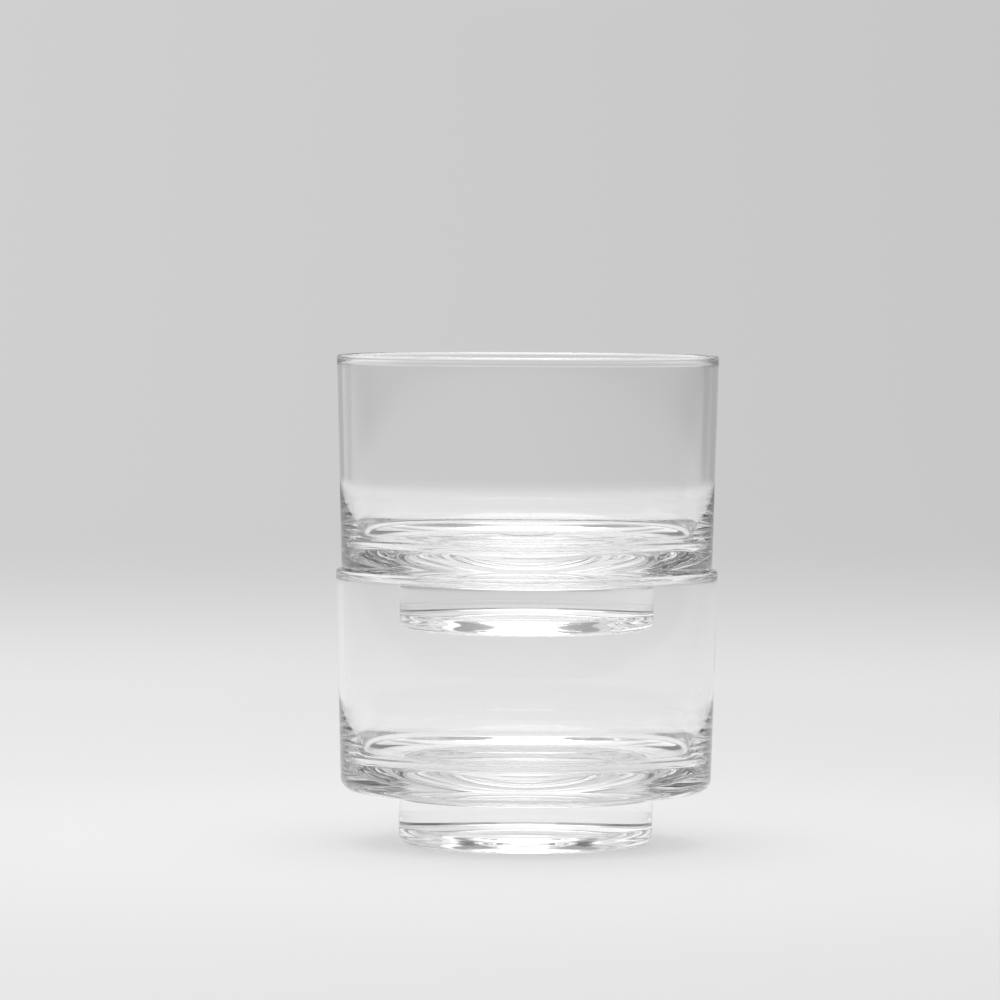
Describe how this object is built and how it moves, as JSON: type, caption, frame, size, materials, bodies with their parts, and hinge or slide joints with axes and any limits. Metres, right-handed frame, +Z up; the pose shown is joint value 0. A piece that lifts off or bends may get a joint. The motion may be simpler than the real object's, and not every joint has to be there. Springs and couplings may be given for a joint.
{
  "type": "cortado glass",
  "caption": "Stack of clear cortado glasses with thin bowls, finely beaded lips, dished floors, thick bases and stepped feet hollowed underneath; the upper glass lifts off the lower one's lip.",
  "frame": {"origin": "centre of the lower glass's foot, on the table", "axes": "+Z up along the axis that both glasses are turned about; X and Y are alike"},
  "size_m": [0.078, 0.078, 0.1],
  "materials": {
    "clear_glass": "fire-polished clear soda-lime glass"
  },
  "bodies": {
    "lower_glass": {"lower_glass": "clear_glass"},
    "upper_glass": {"upper_glass": "clear_glass"}
  },
  "joints": [
    {"name": "lift_off", "type": "slide", "parent": "lower_glass", "child": "upper_glass", "axis": [0, 0, 1], "range_m": [0, 0.06]}
  ]
}
